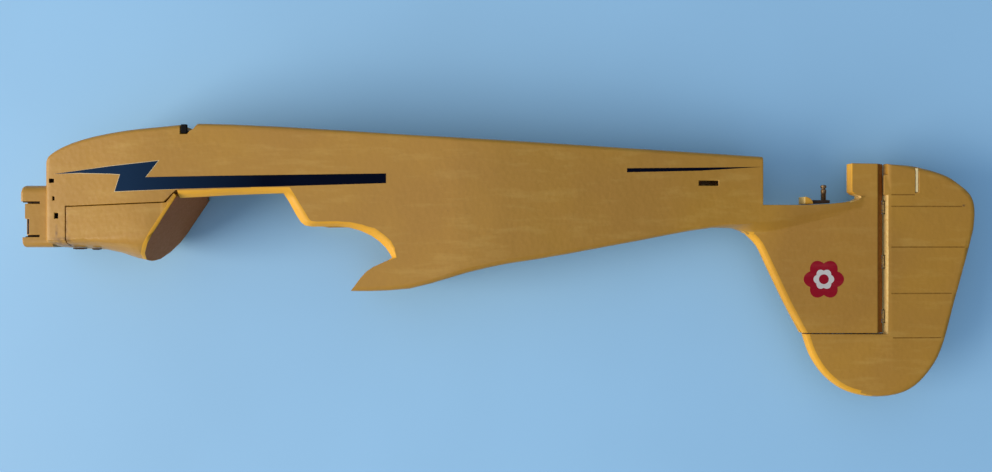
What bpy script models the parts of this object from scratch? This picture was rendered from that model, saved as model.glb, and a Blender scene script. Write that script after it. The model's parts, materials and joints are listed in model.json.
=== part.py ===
"""Bare fuselage of a foam radio-control model of a high-wing light aeroplane, lying on its port side.

Every size is in millimetres in the drawing frame: x runs aft from the nose, y runs from the datum line
towards the belly, and z runs to starboard from the centre plane. One empty, the datum, carries all the
pieces and sets the model down with its port side on z = 0 and its bounding box centred on x and y.
"""

import math

import bmesh
import bpy
from mathutils import Matrix, Vector

MM = 0.001

# Driving dimensions
HALF_WIDTH = 36.0
WALL = 6.0
TAIL_WALL = 4.5
SEAM = 0.3
FIT = 0.3
FIN_HALF = 5.0
RUDDER_TE_HALF = 1.6
BELLY_RADIUS = 3.0
TOP_RADIUS = 3.5
FRAME_AFT = 31.1
END_WALL = 501.8
BOX_LENGTH = (-1.5, 652.5)
BOX_DEPTH = (-112.0, 74.5)

# The lines of the shell, as (x, value) stations joined by a smooth curve
PLAN = ((17, 27.6), (18.5, 29.0), (24, 29.8), (50, 32.6), (80, 35.3), (100, 36), (288, 36), (300, 35.6), (400, 23.6),
        (505, 11), (540, 8.6), (571, 6.2), (577, 4.3))
BELLY = ((17, 51.6), (18.5, 53.6), (23.4, 57.0), (33, 61.5), (51.3, 66.6), (75, 70.4), (96, 72.4),
         (121.5, 74.5), (143, 74.0), (208, 70.6), (257, 67.4), (361, 62.0), (421, 58.9), (501, 54.7),
         (565, 51.0), (577, 49.0))
TOP = ((17, -7.6), (30, -8.6), (50, -9.6), (58, -11.2), (66, -13.5), (74, -16.6), (80, -18.0), (112, -18.2),
       (140, -30), (200, -36.4), (234, -36.6), (261, -34.9), (276, -31.2), (301, -23.8), (326, -18.4),
       (347, -15.3), (384, -8.9), (417, -2.8), (450, 3.4), (468, 5.9), (484, 5.4), (497, 0.6), (528, 6.0),
       (571, 16.6), (577, 18.0))
# Depth of the rounding, or of the bevel at the tail, where the side turns into the top
TOP_TURN = ((17, 5), (30, 6), (55, 10), (68, 15), (80, 21), (112, 21), (140, 12), (200, 4), (468, 3.5), (484, 2.5),
            (497, 8.8), (528, 9.3), (571, 7.4), (577, 7))
STATIONS = (17, 17.6, 18.5, 20.5, 23.4, 28, 35, 43, 51, 62, 73, 79, 86, 96, 108, 121.5, 143, 175, 208, 222,
            234, 247, 261, 276, 288, 294, 300, 313, 326, 347, 365, 384, 400, 417, 434, 450, 468, 478, 484,
            490, 497, 512, 528, 550, 571, 577)
ARC_STEPS = 4

# Outlines in side view
SEAM_FRONT = (FRAME_AFT, 19.9)
SEAM_REAR = (98.9, 22.7)
SILL_STEP = ((106.2, 30.3), (107.4, 30.3))
# The edge of the cabin opening deep in the wall, and the line where its rounding meets the side
CABIN_EDGE = ((107.8, 25.3), (128, 26.4), (142, 27.2), (176.5, 28.5), (180.2, 22.9), (185, 14.1), (188.2, 9.2),
              (191, 7), (195.5, 6.2), (212.4, 6.4), (220.4, 5.6), (227.6, 3.6), (234.9, 0.3), (240.5, -3.6),
              (244.6, -7.7), (247.3, -11.7), (248.8, -14.3))
CABIN_LINE = ((107.6, 30.2), (128, 30.7), (142, 31.3), (181.8, 32.2), (185.8, 26), (190.9, 17.5), (194.6, 11.3),
              (196.6, 9.4), (199.5, 9), (213.2, 9.2), (221.8, 8.7), (229.9, 7.5), (238, 5.2), (244.4, 0.6),
              (248.6, -3.2), (251.2, -7.8), (251.9, -13.9))
RIM_DEPTH = 5.0
RIM_KNEE = 1.6
PORT_SILL = 31.2
WING_SEAT = ((247.3, -15.7), (242.9, -17.7), (237.3, -20.2), (232.5, -23.4), (228.4, -27.8), (224.4, -33.4),
             (221.5, -36.8))
SCREEN_BASE = (106.9, 26.1)
HATCH_LIP = 30.5
SCREEN_TOP = (78.0, -17.5)
HATCH_PIVOT = (31.4, -8.2)
FIN_EDGE = ((476, 13), (487.3, 5.2), (493.1, 0.4), (500.0, -6.9), (506.6, -20.6), (519.2, -46.7),
            (530.2, -67.4))
SEAT_EDGE = ((END_WALL, 21.5), (530, 21.5), (548.7, 22.3), (562.9, 23.7), (568.4, 24.9), (571.2, 26.4),
             (570.6, 28.0), (567.1, 28.9), (564.9, 30.6))
HINGE_X = 588.8
FIN_TE = (582.8, 588.5)
FIN_TOP = -67.4
POST_BOTTOM = 50.2
RUDDER_LE = (589.0, 590.2, 587.0)
SQUARE_STRETCH = (28.5, 42.5)
HORN_GAP = 0.7
RUDDER_EDGE = ((532.0, FIN_TOP - HORN_GAP), (536.7, -81.9), (544.1, -93.9), (552.9, -102.5), (562.8, -108.3),
               (575.3, -111.42), (587.8, -111.84), (600.3, -109.6), (610.3, -104.5), (619.0, -95.8),
               (626.5, -84.4), (631.6, -70.7), (636.5, -52.0), (642.8, -29.5), (650.5, 0.0), (652.0, 8.1),
               (652.5, 17.7), (651.4, 24.6), (648.3, 30.2), (642.0, 35.8), (633.9, 41.2), (624.5, 44.8),
               (615.2, 47.3), (605.8, 49.2), (RUDDER_LE[1], POST_BOTTOM))
HINGE_HEIGHTS = (20.0, -18.0, -56.0)
KNUCKLE = 0.9
PIN = 0.35
PIN_BORE = 0.5
GEAR_X = 109.8
STUD_X = 547.0
SLOT_STARBOARD = (456.4, 34.4)
SLOT_PORT = (436.4, 34.9)
SLOT_SIZE = (13.8, 3.4)
GRIPS = {"front": (32.0, 40.2), "rear": (44.8, 50.1)}
GRIP_SPAN = (17.8, 21.0)


def curve_value(stations, x):
    """The value at x of a smooth curve through the stations that doesn't overshoot them."""
    if x <= stations[0][0]:
        return stations[0][1]
    if x >= stations[-1][0]:
        return stations[-1][1]
    slopes = [(b[1] - a[1]) / (b[0] - a[0]) for a, b in zip(stations, stations[1:])]
    i = next(k for k in range(len(slopes)) if x <= stations[k + 1][0])
    (x0, y0), (x1, y1) = stations[i], stations[i + 1]

    def tangent(k):
        before, after = slopes[max(k - 1, 0)], slopes[min(k, len(slopes) - 1)]
        return 0.0 if before * after <= 0 else 2 * before * after / (before + after)

    span = x1 - x0
    t = (x - x0) / span
    return ((2 * t**3 - 3 * t**2 + 1) * y0 + (t**3 - 2 * t**2 + t) * span * tangent(i)
            + (3 * t**2 - 2 * t**3) * y1 + (t**3 - t**2) * span * tangent(i + 1))


def half_width(x):
    return curve_value(PLAN, x)


def softened(outline, steps):
    """The outline with points added on the smooth curve that passes through its own."""
    points = [Vector(p) for p in outline]
    padded = [points[0], *points, points[-1]]
    curve = []
    for before, first, second, after in zip(padded, padded[1:], padded[2:], padded[3:]):
        for k in range(steps):
            t = k / steps
            curve.append(0.5 * (2 * first + (second - before) * t
                                + (2 * before - 5 * first + 4 * second - after) * t**2
                                + (3 * first - before - 3 * second + after) * t**3))
    return [(p.x, p.y) for p in [*curve, points[-1]]]


def wall_at(x):
    return WALL + (TAIL_WALL - WALL) * min(max((x - 300) / 200, 0), 1)


def new_object(name, mesh, collection):
    obj = bpy.data.objects.new(name, mesh)
    collection.objects.link(obj)
    return obj


def mesh_object(name, bm, collection):
    """Turns a bmesh drawn in millimetres into an object in metres."""
    bmesh.ops.transform(bm, matrix=Matrix.Scale(MM, 4), verts=bm.verts)
    bmesh.ops.recalc_face_normals(bm, faces=bm.faces)
    mesh = bpy.data.meshes.new(name)
    bm.to_mesh(mesh)
    bm.free()
    return new_object(name, mesh, collection)


def box(name, low, high, collection):
    bm = bmesh.new()
    bmesh.ops.create_cube(bm, size=1.0)
    size = Vector(high) - Vector(low)
    middle = (Vector(high) + Vector(low)) / 2
    bmesh.ops.transform(bm, matrix=Matrix.Translation(middle) @ Matrix.Diagonal((*size, 1)), verts=bm.verts)
    return mesh_object(name, bm, collection)


def rod(name, start, end, radius, collection, sides=16):
    bm = bmesh.new()
    axis = Vector(end) - Vector(start)
    bmesh.ops.create_cone(bm, cap_ends=True, segments=sides, radius1=radius, radius2=radius,
                          depth=axis.length)
    turn = axis.to_track_quat("Z", "Y").to_matrix().to_4x4()
    middle = (Vector(end) + Vector(start)) / 2
    bmesh.ops.transform(bm, matrix=Matrix.Translation(middle) @ turn, verts=bm.verts)
    return mesh_object(name, bm, collection)


def prism(name, outline, low_z, high_z, collection):
    """A flat outline in side view, extruded from low_z to high_z."""
    curve = bpy.data.curves.new(name, "CURVE")
    curve.dimensions = "2D"
    curve.fill_mode = "BOTH"
    curve.extrude = (high_z - low_z) / 2 * MM
    spline = curve.splines.new("POLY")
    spline.points.add(len(outline) - 1)
    for point, (x, y) in zip(spline.points, outline):
        point.co = (x * MM, y * MM, 0, 1)
    spline.use_cyclic_u = True
    drawn = new_object(name, curve, collection)
    drawn.location.z = (high_z + low_z) / 2 * MM
    return as_mesh(drawn, collection)


def crosswise_prism(name, plan, low_y, high_y, collection):
    """A flat outline in plan, as (x, z) points, extruded from low_y to high_y."""
    made = prism(name, plan, -high_y, -low_y, collection)
    made.data.transform(Matrix.Rotation(math.pi / 2, 4, "X"))
    return made


def as_mesh(obj, collection):
    """Replaces an object by the mesh that it evaluates to, closed and with its place in its vertices."""
    bpy.context.view_layer.update()
    graph = bpy.context.evaluated_depsgraph_get()
    mesh = bpy.data.meshes.new_from_object(obj.evaluated_get(graph))
    mesh.transform(obj.matrix_world)
    name = obj.name
    bpy.data.objects.remove(obj)
    bm = bmesh.new()
    bm.from_mesh(mesh)
    bmesh.ops.remove_doubles(bm, verts=bm.verts, dist=0.005 * MM)
    bmesh.ops.recalc_face_normals(bm, faces=bm.faces)
    bm.to_mesh(mesh)
    bm.free()
    mesh.name = name
    return new_object(name, mesh, collection)


def combine(target, tool, operation):
    """Applies an exact Boolean to the target and removes the tool."""
    modifier = target.modifiers.new(operation, "BOOLEAN")
    modifier.operation = operation
    modifier.object = tool
    bpy.context.view_layer.update()
    graph = bpy.context.evaluated_depsgraph_get()
    mesh = bpy.data.meshes.new_from_object(target.evaluated_get(graph))
    target.modifiers.clear()
    target.data = mesh
    bpy.data.objects.remove(tool)
    return target


def cut(target, *tools):
    for tool in tools:
        combine(target, tool, "DIFFERENCE")
    return target


def join(target, *tools):
    for tool in tools:
        combine(target, tool, "UNION")
    return target


def loft(name, sections, collection):
    """A closed skin over sections that all have the same number of points, capped at both ends."""
    bm = bmesh.new()
    rings = [[bm.verts.new(p) for p in section] for section in sections]
    for ring, following in zip(rings, rings[1:]):
        for i in range(len(ring)):
            j = (i + 1) % len(ring)
            bm.faces.new((ring[i], ring[j], following[j], following[i]))
    bm.faces.new(rings[0])
    bm.faces.new(rings[-1][::-1])
    bmesh.ops.triangulate(bm, faces=bm.faces)
    return mesh_object(name, bm, collection)


def quarter(centre, reach, start_at_side, flat=0.0):
    """Points of a quarter ellipse about centre, as (y, z), pulled towards its chord by the share flat."""
    (cy, cz), (ry, rz) = centre, reach
    points = []
    for k in range(ARC_STEPS + 1):
        share = k / ARC_STEPS
        angle = share * math.pi / 2
        y = (1 - flat) * math.sin(angle) + flat * share
        z = (1 - flat) * math.cos(angle) + flat * (1 - share)
        points.append((cy + ry * y, cz + rz * z))
    return points if start_at_side else points[::-1]


def side_section(x, inset=0.0):
    """The side of a cross-section of the shell as (y, z) points, from the belly up to the top."""
    side = half_width(x) - inset
    belly = curve_value(BELLY, x) - inset
    top = curve_value(TOP, x) + inset
    turn = curve_value(TOP_TURN, x)
    bevelled = min(max((x - 470) / 14, 0), 1)
    over_nose = min(max((170 - x) / 60, 0), 1)
    belly_reach = min(BELLY_RADIUS, side * 0.7)
    top_reach = min(TOP_RADIUS, side * 0.6)
    top_reach += (side * 0.98 - top_reach) * over_nose
    top_reach += (max(side - FIN_HALF + 0.5 + inset, 0.3) - top_reach) * bevelled
    lower = quarter((belly - BELLY_RADIUS, side - belly_reach), (BELLY_RADIUS, belly_reach), False)
    upper = quarter((top + turn, side - top_reach), (-turn, top_reach), True, bevelled)
    return [*lower, *upper]


def half_section(x, inset, inner_z):
    """A closed half section, from the belly round to the top and back down at inner_z."""
    side = side_section(x, inset)
    return [(x, y, z) for y, z in [(side[0][0], inner_z), *side, (side[-1][0], inner_z)]]


def whole_section(x, inset):
    """A closed section over both sides."""
    side = side_section(x, inset)
    return [(x, y, z) for y, z in side] + [(x, y, -z) for y, z in reversed(side)]


def nose_section(x, inset):
    """Half of a cross-section of the narrower nose box that the cowl slides over."""
    side, belly, top, radius = 26.0 - inset, 34.0 - inset, -7.6 + inset, 5.0
    lower = quarter((belly - radius, side - radius), (radius, radius), False)
    upper = quarter((top + radius, side - radius), (-radius, radius), True)
    return [(x, y, z) for y, z in [(belly, -0.7), *lower, *upper, (top, -0.7)]]


def windscreen_line(offset, y):
    """x of the raked windscreen base at height y, moved forward by offset."""
    lean = (SCREEN_BASE[0] - SCREEN_TOP[0]) / (SCREEN_BASE[1] - SCREEN_TOP[1])
    return SCREEN_BASE[0] - offset - lean * (SCREEN_BASE[1] - y)


def stations_between(first_x, last_x):
    return [first_x, *[x for x in STATIONS if first_x < x < last_x], last_x]


def round_edges(obj, outline, z_level, radius, steps):
    """Rounds the edges of a flat piece that run along the outline at one level."""
    bm = bmesh.new()
    bm.from_mesh(obj.data)
    bmesh.ops.dissolve_limit(bm, angle_limit=0.001, verts=bm.verts, edges=bm.edges)
    near = {(round(x, 2), round(y, 2)) for x, y in outline}
    on_line = {v for v in bm.verts
               if abs(v.co.z / MM - z_level) < 0.01 and (round(v.co.x / MM, 2), round(v.co.y / MM, 2)) in near}
    edges = [e for e in bm.edges if e.verts[0] in on_line and e.verts[1] in on_line and len(e.link_faces) == 2
             and not all(abs(f.normal.z) > 0.9 for f in e.link_faces)]
    bmesh.ops.bevel(bm, geom=edges, offset=radius * MM, segments=steps, affect="EDGES", profile=0.5, material=-1)
    bm.to_mesh(obj.data)
    bm.free()
    return obj


def fin_half(tools):
    """The starboard half of the fin and stern post, with a round leading edge and a bevelled hinge edge."""
    edge = softened(FIN_EDGE, 3)
    outline = [*edge, (FIN_TE[1], FIN_TOP), (FIN_TE[1], POST_BOTTOM), (564.0, 50.6), (564.0, 19.5)]
    fin = prism("fin", outline, -1.4, FIN_HALF, tools)
    round_edges(fin, edge[6:], FIN_HALF, 3.8, 3)
    slope = (FIN_TE[1] - FIN_TE[0]) / FIN_HALF
    line = [(FIN_TE[0] - slope, FIN_HALF + 1), (FIN_TE[1] + 4, FIN_HALF + 1), (FIN_TE[1] + 4, -2),
            (FIN_TE[1] + 2 * slope, -2)]
    return cut(fin, crosswise_prism("hinge_bevel", line, -80, 60, tools))


def hinge_pockets(tools):
    """Room at the hinge line for the three nylon hinges."""
    pockets = []
    for y in HINGE_HEIGHTS:
        pockets.append(box("pocket", (587.3, y - 4.6, -1.3), (592, y + 4.6, 1.3), tools))
        pockets.append(box("slot", (576.5, y - 4.6, -0.7), (601, y + 4.6, 0.7), tools))
    return pockets


def nose_box(tools):
    """The box that the cowl slides over: three lobes at the front with slots between them."""
    nose = [(-1.5, 1.4), (-0.7, 0.45), (0.8, 0.0), (20.0, 0.0)]
    made = loft("nose_box", [nose_section(x, inset) for x, inset in nose], tools)
    wide = 40
    cut(made, box("mid_front", (-5, -0.2, -wide), (1.7, 22.6, wide), tools))
    cut(made, box("top_front", (-5, -20, -wide), (0.1, 0.2, wide), tools))
    cut(made, box("lower_slot", (-7, 21.7, 22), (11.7, 23.2, wide), tools))
    cut(made, box("upper_slot", (-7, -0.8, 22), (11.7, 0.7, wide), tools))
    return cut(made, box("ear_notch", (-9, 0.3, 23.5), (4.6, 11.5, wide), tools))


def nose_cutters(tools):
    """The motor bay and the small side holes."""
    wide = 40
    return [
        box("motor_bay", (-5, 2.5, -5), (FRAME_AFT + 3, 17.5, 13), tools),
        box("cowl_screw_hole", (23.4, 11.7, 10), (26.0, 15.4, wide), tools),
        box("chin_hole", (19.6, 35.6, 25), (23.2, 38.2, wide), tools),
        box("frame_nick", (22.1, 23.8, 26), (23.4, 26.4, wide), tools),
    ]


def hatch_outline(clearance):
    """The side view of the nose hatch, from the front frame to the raked windscreen base."""
    high = -60
    return [(FRAME_AFT + clearance, SEAM_FRONT[1] - clearance), (SEAM_REAR[0] + 1.2, SEAM_REAR[1] - 0.5),
            (SEAM_REAR[0] + 2.6, HATCH_LIP), (windscreen_line(0, HATCH_LIP), HATCH_LIP),
            (windscreen_line(0, high), high), (FRAME_AFT + clearance, high)]


def tab_cutters(tools):
    """What is cut from both sides of the hatch, so that only its middle reaches down between the walls."""
    under_tab = [(SEAM_REAR[0] + 1.2, SEAM_REAR[1] - 0.5), (105.1, 28.2), (105.7, 28.2), SCREEN_BASE, (116, 20),
                 (116, 45), (90, 45), (90, 23)]
    inner = HALF_WIDTH - WALL - 0.6
    return [prism("under_tab", under_tab, inner, 60, tools), prism("under_tab", under_tab, -60, -inner, tools)]


def cabin_cutter(tools):
    """Everything above the nose seam, the sill and the wing seat, with the rounded rim of the opening."""
    high = -90

    def level(z, spread):
        rim = [Vector(deep).lerp(Vector(line), spread) for deep, line in zip(CABIN_EDGE, CABIN_LINE)]
        outline = [SEAM_FRONT, SEAM_REAR, *SILL_STEP, *rim, *WING_SEAT, (WING_SEAT[-1][0], high), (FRAME_AFT, high)]
        return [(x, y, z) for x, y in outline]

    past = 1.0
    beyond = 0.5 + 0.5 * (RIM_KNEE + past) / RIM_KNEE
    levels = [level(-5, 0), level(HALF_WIDTH - RIM_DEPTH, 0), level(HALF_WIDTH - RIM_KNEE, 0.5),
              level(HALF_WIDTH + past, beyond), level(60, beyond)]
    return loft("cabin", levels, tools)


def fuselage_half(tools, parts):
    """The starboard half of the moulded shell: nose box, sides, belly, turtle deck, fin and stern post."""
    half = loft("fuselage_starboard_half", [half_section(x, 0, -1.0) for x in STATIONS], tools)
    join(half, nose_box(tools))
    cut(half, box("post_face", (563.5, 27.5, -50), (590, 90, 60), tools))
    join(half, fin_half(tools))
    cut(half, *nose_cutters(tools))
    hollow = [half_section(x, wall_at(x), -3.0) for x in stations_between(36, 495)]
    cut(half, loft("hollow", hollow, tools))
    cut(half, cabin_cutter(tools))
    gear_notch = [(GEAR_X - 0.4, 90), (GEAR_X - 0.4, 67.5), (113.9, 67.5), (115.2, 69.2), (117.7, 70.5),
                  (120.0, 73.0), (121.5, 90)]
    cut(half, prism("gear_notch", gear_notch, -5, 60, tools))
    cut(half, prism("tail_notch", [(END_WALL, 90), *SEAT_EDGE, (564.9, 90)], -5, 60, tools))
    cut(half, *hinge_pockets(tools))
    cut(half, box("other_half", (-50, -150, -50), (700, 150, SEAM / 2), tools))
    return as_mesh(half, parts)


def pushrod_slot(corner, side, tools):
    """The exit of a pushrod through one side of the tail."""
    (x, y), (length, depth) = corner, SLOT_SIZE
    low_z, high_z = sorted((5 * side, 40 * side))
    return box("pushrod_slot", (x, y, low_z), (x + length, y + depth, high_z), tools)


def both_halves(tools, parts):
    """The two shell halves. The port one has a lower sill and its own pushrod slot."""
    starboard = fuselage_half(tools, parts)
    port = new_object("fuselage_port_half", starboard.data.copy(), parts)
    port.data.transform(Matrix.Diagonal((1, 1, -1, 1)))
    port.data.flip_normals()
    cut(starboard, pushrod_slot(SLOT_STARBOARD, 1, tools))
    cut(port, pushrod_slot(SLOT_PORT, -1, tools), box("port_sill", (107.0, 10, -60), (177.6, PORT_SILL, -22), tools))
    as_mesh(starboard, parts)
    as_mesh(port, parts)


def nose_hatch(tools, parts):
    """The lift-up nose deck: the shell's own shape inside the hatch outline, mirrored whole and hollowed."""
    hatch = loft("nose_hatch", [whole_section(x, 0) for x in stations_between(20.5, 143)], tools)
    combine(hatch, prism("hatch", hatch_outline(0.4), -60, 60, tools), "INTERSECT")
    cut(hatch, *tab_cutters(tools))
    front, deep, high = FRAME_AFT + 7, 45, -60
    outline = [(front, deep), (windscreen_line(8, deep), deep), (windscreen_line(8, high), high), (front, high)]
    hollow = loft("hollow", [whole_section(x, WALL) for x in stations_between(35, 121.5)], tools)
    combine(hollow, prism("hollow_outline", outline, -60, 60, tools), "INTERSECT")
    cut(hatch, hollow)
    return as_mesh(hatch, parts)


def rudder(tools, parts):
    """The rudder with its horn over the fin, thinning towards the trailing edge."""
    edge = [*softened(RUDDER_EDGE[:-1], 3), RUDDER_EDGE[-1]]
    outline = [*edge, (RUDDER_LE[2], POST_BOTTOM), (RUDDER_LE[2], RUDDER_EDGE[0][1])]
    blade = prism("rudder", outline, -FIN_HALF, FIN_HALF, tools)
    for level in (FIN_HALF, -FIN_HALF):
        round_edges(blade, edge, level, 3.6, 2)
    top, (square_top, square_bottom) = RUDDER_EDGE[0][1] - 0.2, SQUARE_STRETCH
    for first, last, face in ((top, square_top, RUDDER_LE[1]), (square_bottom, POST_BOTTOM + 4, RUDDER_LE[1]),
                              (square_top - 0.1, square_bottom + 0.1, RUDDER_LE[2])):
        far = RUDDER_LE[0] + (face - RUDDER_LE[0]) * 1.6
        plan = [(RUDDER_LE[0], 0), (far, 8), (580, 8), (580, -8), (far, -8)]
        cut(blade, crosswise_prism("bevel", plan, first, last, tools))
    groove = prism("tiller_groove", [(609.7, 60), (609.7, 30.2), (612.0, 30.2), (612.0, 60)], 1.6, 10, tools)
    cut(blade, groove, *hinge_pockets(tools))
    bm = bmesh.new()
    bm.from_mesh(blade.data)
    bmesh.ops.bisect_plane(bm, geom=[*bm.verts, *bm.edges, *bm.faces], plane_co=(593 * MM, 0, 0),
                           plane_no=(1, 0, 0))
    bmesh.ops.triangulate(bm, faces=bm.faces)
    for v in bm.verts:
        share = min(max((v.co.x / MM - 593) / (BOX_LENGTH[1] - 593), 0), 1)
        v.co.z *= 1 + share * (RUDDER_TE_HALF / FIN_HALF - 1)
    bm.to_mesh(blade.data)
    bm.free()
    return as_mesh(blade, parts)


def hinge_pair(number, y, tools, parts):
    """A pinned nylon hinge: a fixed leaf with one knuckle, and a moving fork that carries the pin."""
    leaf = box(f"hinge_{number}_fixed", (577, y - 4, -0.4), (HINGE_X - 0.8, y + 4, 0.4), tools)
    knuckle = rod("knuckle", (HINGE_X, y - 2, 0), (HINGE_X, y + 2, 0), KNUCKLE, tools)
    window = box("window", (HINGE_X - 2.4, y - 6, -3), (HINGE_X + 4, y - 1.9, 3), tools)
    other = box("window", (HINGE_X - 2.4, y + 1.9, -3), (HINGE_X + 4, y + 6, 3), tools)
    cut(leaf, window, other)
    join(leaf, knuckle)
    cut(leaf, rod("bore", (HINGE_X, y - 5, 0), (HINGE_X, y + 5, 0), PIN_BORE, tools))
    fixed = as_mesh(leaf, parts)
    fork = box(f"hinge_{number}_moving", (HINGE_X + 2.2, y - 4, -0.4), (600.5, y + 4, 0.4), tools)
    arms = [box("arm", (HINGE_X, y + side - 0.75, -0.4), (HINGE_X + 3, y + side + 0.75, 0.4), tools)
            for side in (-3.2, 3.2)]
    ends = [rod("eye", (HINGE_X, y + side - 0.75, 0), (HINGE_X, y + side + 0.75, 0), KNUCKLE, tools)
            for side in (-3.2, 3.2)]
    pin = rod("pin", (HINGE_X, y - 3.6, 0), (HINGE_X, y + 3.6, 0), PIN, tools, 12)
    join(fork, *arms, *ends, pin)
    return fixed, as_mesh(fork, parts)


def firewall(tools, parts):
    """The black plate in the motor bay, with four screw holes round a window for the wires."""
    plate = box("firewall", (14.0, 2.5 + FIT, -13 + FIT), (16.5, 17.5 - FIT, 13 - FIT), tools)
    cut(plate, box("wire_window", (10, 6.6, -4.5), (20, 13.4, 4.5), tools))
    for y in (5.6, 14.4):
        for z in (-8.5, 8.5):
            cut(plate, rod("screw_hole", (10, y, z), (20, y, z), 1.1, tools, 10))
    return as_mesh(plate, parts)


def hatch_former(tools, parts):
    """The plywood former under the hatch's rear end, with an opening for the battery."""
    x, thickness = 88.0, 3.0
    side = half_width(x) - WALL - FIT
    floor = curve_value(BELLY, x) - WALL - FIT
    corner = BELLY_RADIUS + 0.4
    outline = [(24.5, -side), (24.5, side), (floor - corner, side), (floor, side - corner),
               (floor, corner - side), (floor - corner, -side)]
    former = loft("hatch_former", [[(at, y, z) for y, z in outline] for at in (x, x + thickness)], tools)
    cut(former, box("battery_opening", (x - 3, 31, -20), (x + 6, 57, 20), tools))
    return as_mesh(former, parts)


def servo_tray(tools, parts):
    """The plywood tray across the cabin, with two servo windows."""
    side = HALF_WIDTH - WALL - FIT
    tray = box("servo_tray", (168, 50, -side), (226, 52.5, side), tools)
    for z in (-15, 15):
        cut(tray, box("servo_window", (180, 40, z - 6.3), (203.5, 60, z + 6.3), tools))
    return as_mesh(tray, parts)


def pushrod_tube(side, name, slot, parts):
    """A guide tube glued along the inside of the wall, from the servo tray to the exit slot."""
    radius, first, last = 1.25, 222, slot[0] - 3.4
    curve = bpy.data.curves.new(name, "CURVE")
    curve.dimensions = "3D"
    curve.bevel_depth = radius * MM
    curve.bevel_resolution = 2
    curve.use_fill_caps = True
    xs = [first + (last - first) * k / 16 for k in range(17)]
    spline = curve.splines.new("POLY")
    spline.points.add(len(xs) - 1)
    for point, x in zip(spline.points, xs):
        share = (x - first) / (last - first)
        y = 45 + (slot[1] + 1.6 - 45) * share
        z = side * (half_width(x) - wall_at(x) - radius - 0.35)
        point.co = (x * MM, y * MM, z * MM, 1)
    return new_object(name, curve, parts)


def gear_block(tools, parts):
    """The black bar across the belly that grips the landing gear wire, with a tab at each end."""
    thickness = 3.8
    reach = HALF_WIDTH - 0.4
    block = box("gear_block", (GEAR_X, 68.0, -reach), (GEAR_X + thickness, 73.9, reach), tools)
    tab = 2.6
    cut(block, box("recess", (GEAR_X - 2, 70.0, tab - reach), (GEAR_X + 6, 80, reach - tab), tools))
    join(block, box("keel", (GEAR_X, 65.0, -24), (GEAR_X + thickness, 68.5, 24), tools))
    for z in (-14, 14):
        cut(block, rod("wire_socket", (GEAR_X + 1.9, 66.5, z), (GEAR_X + 1.9, 80, z), 1.1, tools, 12))
    return as_mesh(block, parts)


def tail_fittings(tools, parts):
    """What the tailplane located on: a quarter-round lug, a black base and the stud that stands in it."""
    seat = 21.85 + FIT
    lug_points = [(531.7, seat)] + [(531.7 + 6.2 * math.sin(k * math.pi / 12),
                                     seat + 5.2 * math.cos(k * math.pi / 12)) for k in range(7)]
    lug = prism("tail_lug", lug_points, -6.5, 6.5, parts)
    base = prism("stud_base", [(538.6, 22.35), (538.6, 25.0), (550.2, 25.0), (550.2, 22.9)], -4.0, 4.0, tools)
    stud = rod("tail_stud", (STUD_X, 23.6, 0), (STUD_X, 35.6, 0), 2.0, parts)
    cut(base, rod("stud_hole", (STUD_X, 23.2, 0), (STUD_X, 30, 0), 2.15, tools))
    return [lug, as_mesh(base, parts), stud]


def deck_at(x, z):
    """The height of the shell's top at x and z."""
    upper = side_section(x)[ARC_STEPS + 1:]
    for (y0, z0), (y1, z1) in zip(upper, upper[1:]):
        if z1 <= z <= z0:
            return y0 + (y1 - y0) * (z0 - z) / (z0 - z1)
    return upper[-1][0]


def hatch_grips(parts):
    """Four low dark finger grips near the sides of the hatch, two on each side."""
    low_z, high_z = GRIP_SPAN
    for name, (first, last) in GRIPS.items():
        seat = min(deck_at(x, low_z) for x in stations_between(first, last)) - FIT
        box(f"hatch_grip_{name}_starboard", (first, seat - 1.2, low_z), (last, seat, high_z), parts)
        box(f"hatch_grip_{name}_port", (first, seat - 1.2, -high_z), (last, seat, -low_z), parts)


def tiller_sleeve(parts):
    """The cream sleeve in the rudder's groove that took the tailwheel wire."""
    return box("tiller_sleeve", (609.9, 30.5, 1.9), (611.8, 47.1, 3.6), parts)


FINISHES = {
    "foam": ((0.72, 0.42, 0.09, 1), 0.55, 0.0),
    "black_plastic": ((0.02, 0.02, 0.022, 1), 0.45, 0.0),
    "brown_plastic": ((0.10, 0.05, 0.025, 1), 0.6, 0.0),
    "plywood": ((0.60, 0.42, 0.24, 1), 0.7, 0.0),
    "nylon": ((0.85, 0.80, 0.62, 1), 0.45, 0.0),
    "stud_metal": ((0.42, 0.36, 0.30, 1), 0.35, 0.9),
}
FINISH_OF = {
    "firewall": "black_plastic", "gear_block": "black_plastic", "stud_base": "black_plastic",
    "hatch_grip_front_starboard": "brown_plastic", "hatch_grip_front_port": "brown_plastic",
    "hatch_grip_rear_starboard": "brown_plastic", "hatch_grip_rear_port": "brown_plastic",
    "hatch_former": "plywood", "servo_tray": "plywood", "tiller_sleeve": "nylon", "tail_stud": "stud_metal",
    "pushrod_tube_starboard": "nylon", "pushrod_tube_port": "nylon",
}


ON_RUDDER = ("rudder", "tiller_sleeve", "hinge_1_moving", "hinge_2_moving", "hinge_3_moving")
ON_HATCH = ("nose_hatch", "hatch_grip_front_starboard", "hatch_grip_front_port", "hatch_grip_rear_starboard",
            "hatch_grip_rear_port")


def material(name):
    found = bpy.data.materials.get(name)
    if found:
        return found
    colour, roughness, metallic = FINISHES[name]
    made = bpy.data.materials.new(name)
    made.use_nodes = True
    shader = made.node_tree.nodes["Principled BSDF"]
    shader.inputs["Base Color"].default_value = colour
    shader.inputs["Roughness"].default_value = roughness
    shader.inputs["Metallic"].default_value = metallic
    return made


def finish(obj):
    key = FINISH_OF.get(obj.name, "brown_plastic" if obj.name.startswith("hinge") else "foam")
    obj.data.materials.clear()
    obj.data.materials.append(material(key))
    if obj.type == "MESH":
        obj.data.shade_smooth()
        obj.data.set_sharp_from_angle(angle=math.radians(30))


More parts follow.
